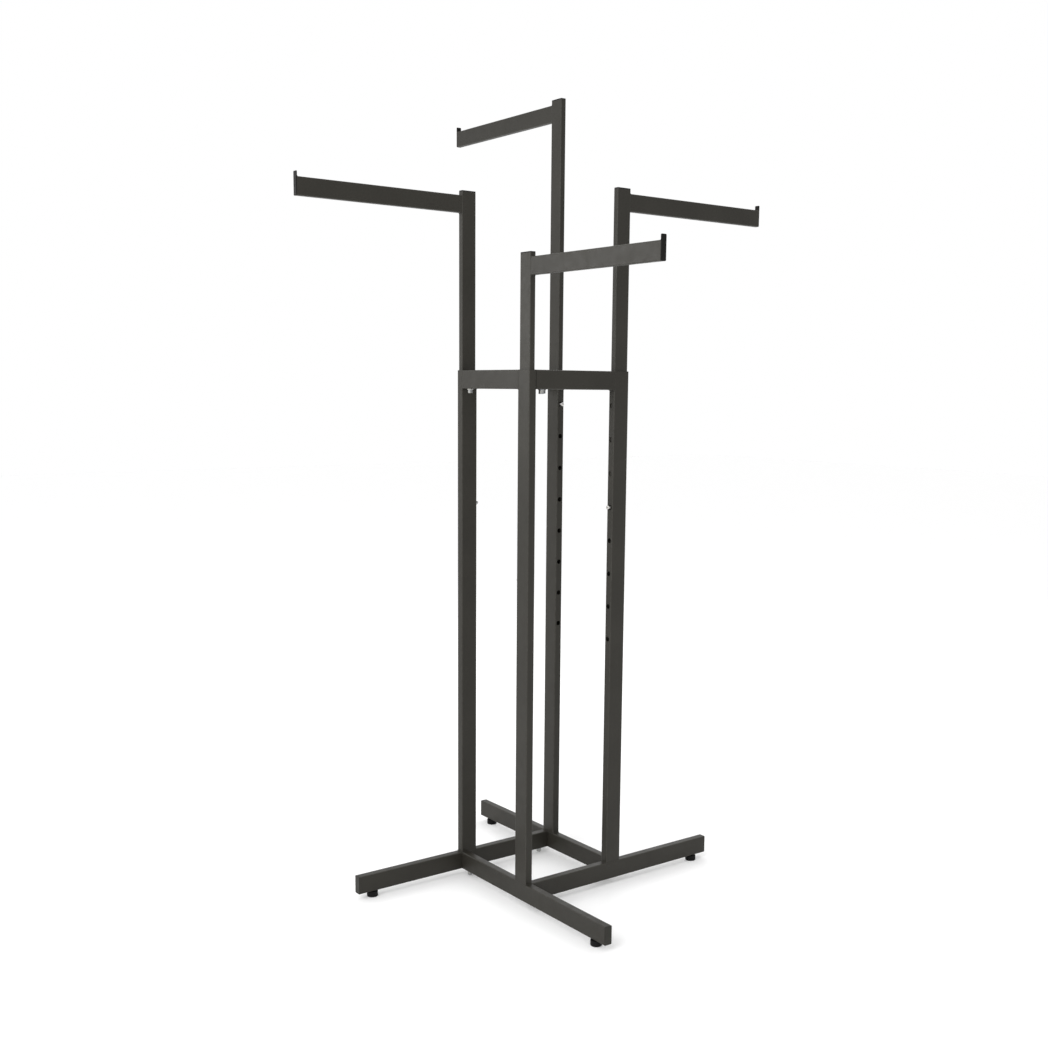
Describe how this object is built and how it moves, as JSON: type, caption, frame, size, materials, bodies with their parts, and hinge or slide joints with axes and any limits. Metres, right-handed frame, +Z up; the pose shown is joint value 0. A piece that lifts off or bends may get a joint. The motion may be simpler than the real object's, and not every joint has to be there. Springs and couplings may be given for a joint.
{
  "type": "four way clothing rack",
  "caption": "Free-standing garment rack with a bolted tube base and top ring, telescoping masts held by snap buttons, and straight hanging arms with end stops.",
  "frame": {"origin": "centre of the base on the floor, under the middle of the square of uprights", "axes": "+Z up. Arm and leg a point along -Y, b along -X, c along +Y and d along +X"},
  "size_m": [1.086, 1.086, 1.8288],
  "materials": {
    "frame_paint": "satin charcoal powder coat",
    "stop_paint": "satin black powder coat",
    "charcoal_plastic": "matte charcoal",
    "black_plastic": "matte black",
    "zinc_steel": "bright zinc plate",
    "button_steel": "bright nickel plate"
  },
  "bodies": {
    "base_frame": {"leg_a": "frame_paint", "leg_end_cap_a": "charcoal_plastic", "outer_upright_a": "frame_paint", "top_rail_a": "frame_paint", "rail_connector_a": "frame_paint", "base_connector_a": "frame_paint", "rail_bolt_a": "zinc_steel", "base_bolt_a": "zinc_steel", "foot_nut_a": "zinc_steel", "leg_b": "frame_paint", "leg_end_cap_b": "charcoal_plastic", "outer_upright_b": "frame_paint", "top_rail_b": "frame_paint", "rail_connector_b": "frame_paint", "base_connector_b": "frame_paint", "rail_bolt_b": "zinc_steel", "base_bolt_b": "zinc_steel", "foot_nut_b": "zinc_steel", "leg_c": "frame_paint", "leg_end_cap_c": "charcoal_plastic", "outer_upright_c": "frame_paint", "top_rail_c": "frame_paint", "rail_connector_c": "frame_paint", "base_connector_c": "frame_paint", "rail_bolt_c": "zinc_steel", "base_bolt_c": "zinc_steel", "foot_nut_c": "zinc_steel", "leg_d": "frame_paint", "leg_end_cap_d": "charcoal_plastic", "outer_upright_d": "frame_paint", "top_rail_d": "frame_paint", "rail_connector_d": "frame_paint", "base_connector_d": "frame_paint", "rail_bolt_d": "zinc_steel", "base_bolt_d": "zinc_steel", "foot_nut_d": "zinc_steel"},
    "mast_a": {"inner_upright_a": "frame_paint", "upright_cap_a": "black_plastic", "hanging_arm_a": "frame_paint", "arm_stop_a": "stop_paint"},
    "button_a": {"snap_button_a": "button_steel"},
    "foot_a": {"levelling_foot_a": "black_plastic"},
    "mast_b": {"inner_upright_b": "frame_paint", "upright_cap_b": "black_plastic", "hanging_arm_b": "frame_paint", "arm_stop_b": "stop_paint"},
    "button_b": {"snap_button_b": "button_steel"},
    "foot_b": {"levelling_foot_b": "black_plastic"},
    "mast_c": {"inner_upright_c": "frame_paint", "upright_cap_c": "black_plastic", "hanging_arm_c": "frame_paint", "arm_stop_c": "stop_paint"},
    "button_c": {"snap_button_c": "button_steel"},
    "foot_c": {"levelling_foot_c": "black_plastic"},
    "mast_d": {"inner_upright_d": "frame_paint", "upright_cap_d": "black_plastic", "hanging_arm_d": "frame_paint", "arm_stop_d": "stop_paint"},
    "button_d": {"snap_button_d": "button_steel"},
    "foot_d": {"levelling_foot_d": "black_plastic"}
  },
  "joints": [
    {"name": "mast_height_a", "type": "slide", "parent": "base_frame", "child": "mast_a", "axis": [0, 0, 1], "range_m": [-0.1524, 0.381], "stiffness_N_per_m": 5, "springref_m": 2.5703, "deforming": ["snap_button_a"]},
    {"name": "mast_height_b", "type": "slide", "parent": "base_frame", "child": "mast_b", "axis": [0, 0, 1], "range_m": [-0.3048, 0.2286], "stiffness_N_per_m": 5, "springref_m": 2.5703, "deforming": ["snap_button_b"]},
    {"name": "mast_height_c", "type": "slide", "parent": "base_frame", "child": "mast_c", "axis": [0, 0, 1], "range_m": [-0.5334, 0], "stiffness_N_per_m": 5, "springref_m": 2.5703, "deforming": ["snap_button_c"]},
    {"name": "mast_height_d", "type": "slide", "parent": "base_frame", "child": "mast_d", "axis": [0, 0, 1], "range_m": [-0.3048, 0.2286], "stiffness_N_per_m": 5, "springref_m": 2.5703, "deforming": ["snap_button_d"]},
    {"name": "snap_button_a", "type": "slide", "parent": "mast_a", "child": "button_a", "axis": [0, -1, 0], "range_m": [0, 0.0097], "stiffness_N_per_m": 1500, "springref_m": -0.004},
    {"name": "snap_button_b", "type": "slide", "parent": "mast_b", "child": "button_b", "axis": [-1, 0, 0], "range_m": [0, 0.0097], "stiffness_N_per_m": 1500, "springref_m": -0.004},
    {"name": "snap_button_c", "type": "slide", "parent": "mast_c", "child": "button_c", "axis": [0, 1, 0], "range_m": [0, 0.0097], "stiffness_N_per_m": 1500, "springref_m": -0.004},
    {"name": "snap_button_d", "type": "slide", "parent": "mast_d", "child": "button_d", "axis": [1, 0, 0], "range_m": [0, 0.0097], "stiffness_N_per_m": 1500, "springref_m": -0.004},
    {"name": "foot_height_a", "type": "slide", "parent": "base_frame", "child": "foot_a", "axis": [0, 0, 1], "range_m": [-0.012, 0]},
    {"name": "foot_height_b", "type": "slide", "parent": "base_frame", "child": "foot_b", "axis": [0, 0, 1], "range_m": [-0.012, 0]},
    {"name": "foot_height_c", "type": "slide", "parent": "base_frame", "child": "foot_c", "axis": [0, 0, 1], "range_m": [-0.012, 0]},
    {"name": "foot_height_d", "type": "slide", "parent": "base_frame", "child": "foot_d", "axis": [0, 0, 1], "range_m": [-0.012, 0]}
  ]
}
